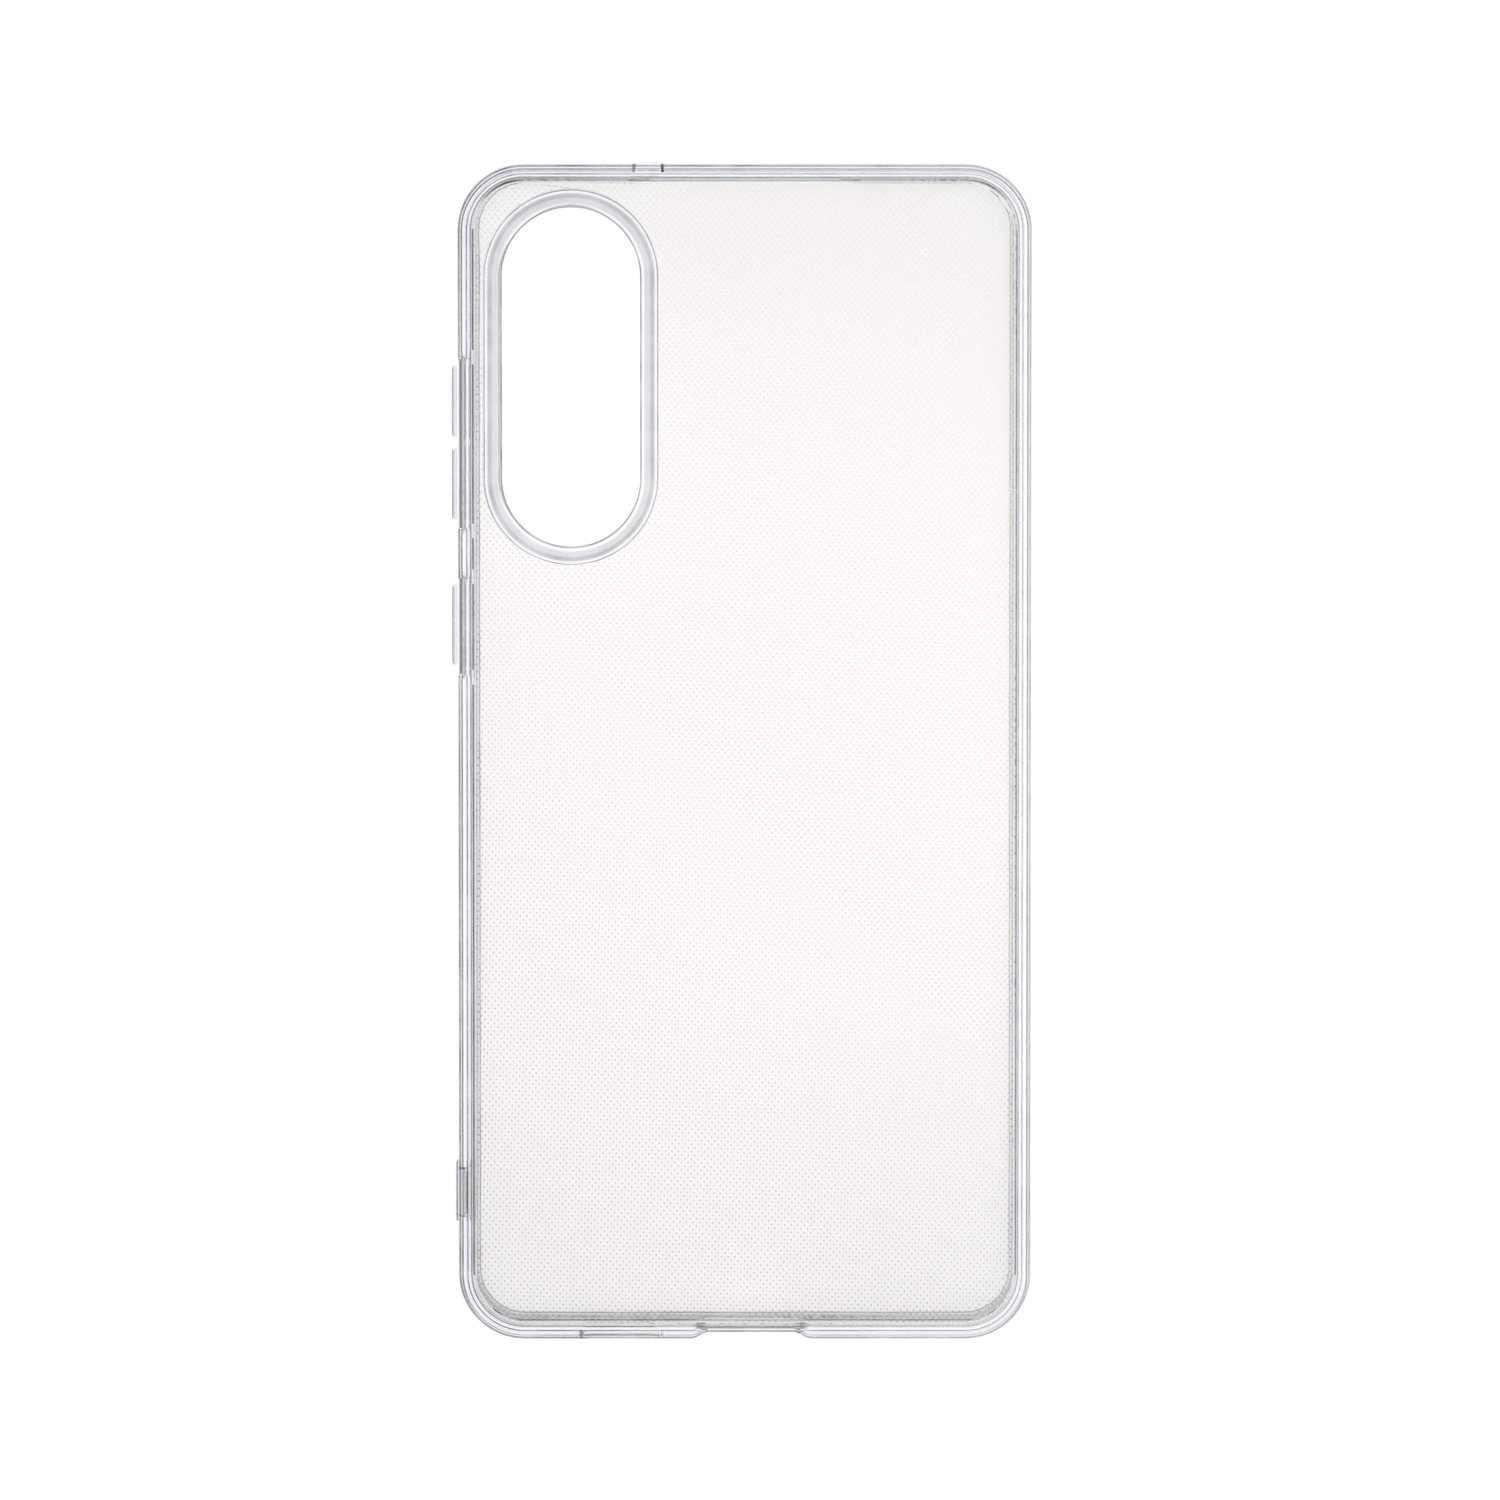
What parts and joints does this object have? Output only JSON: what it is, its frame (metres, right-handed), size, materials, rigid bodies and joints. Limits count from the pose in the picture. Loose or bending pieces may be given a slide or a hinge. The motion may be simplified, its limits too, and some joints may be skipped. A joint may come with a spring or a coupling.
{
  "type": "phone case",
  "caption": "Clear protective case for a flat phone, open at the screen, with a raised camera ring, side button pads and cut-outs in its end walls.",
  "frame": {"origin": "middle of the case's outline on the plane of the front rim, z = 0, with the case lying rim down", "axes": "+Z out of the back, +Y towards the phone's top end, buttons on the -X side"},
  "size_m": [0.0812, 0.165, 0.011],
  "materials": {
    "clear_back": "clear hard plastic with a fine matrix of dots",
    "clear_bumper": "clear flexible plastic, polished, faintly cool"
  },
  "bodies": {
    "case": {"back_plate": "clear_back", "bumper_frame": "clear_bumper", "screen_lip": "clear_bumper", "camera_ring": "clear_bumper", "volume_button_web": "clear_bumper", "power_button_web": "clear_bumper", "strap_bar": "clear_bumper"},
    "volume_up_pad": {"volume_up_button": "clear_bumper"},
    "volume_down_pad": {"volume_down_button": "clear_bumper"},
    "power_pad": {"power_button": "clear_bumper"}
  },
  "joints": [
    {"name": "volume_up_press", "type": "slide", "parent": "case", "child": "volume_up_pad", "axis": [1, 0, 0], "range_m": [0, 0.00035], "stiffness_N_per_m": 2500},
    {"name": "volume_down_press", "type": "slide", "parent": "case", "child": "volume_down_pad", "axis": [1, 0, 0], "range_m": [0, 0.00035], "stiffness_N_per_m": 2500},
    {"name": "power_press", "type": "slide", "parent": "case", "child": "power_pad", "axis": [1, 0, 0], "range_m": [0, 0.00035], "stiffness_N_per_m": 2500}
  ]
}
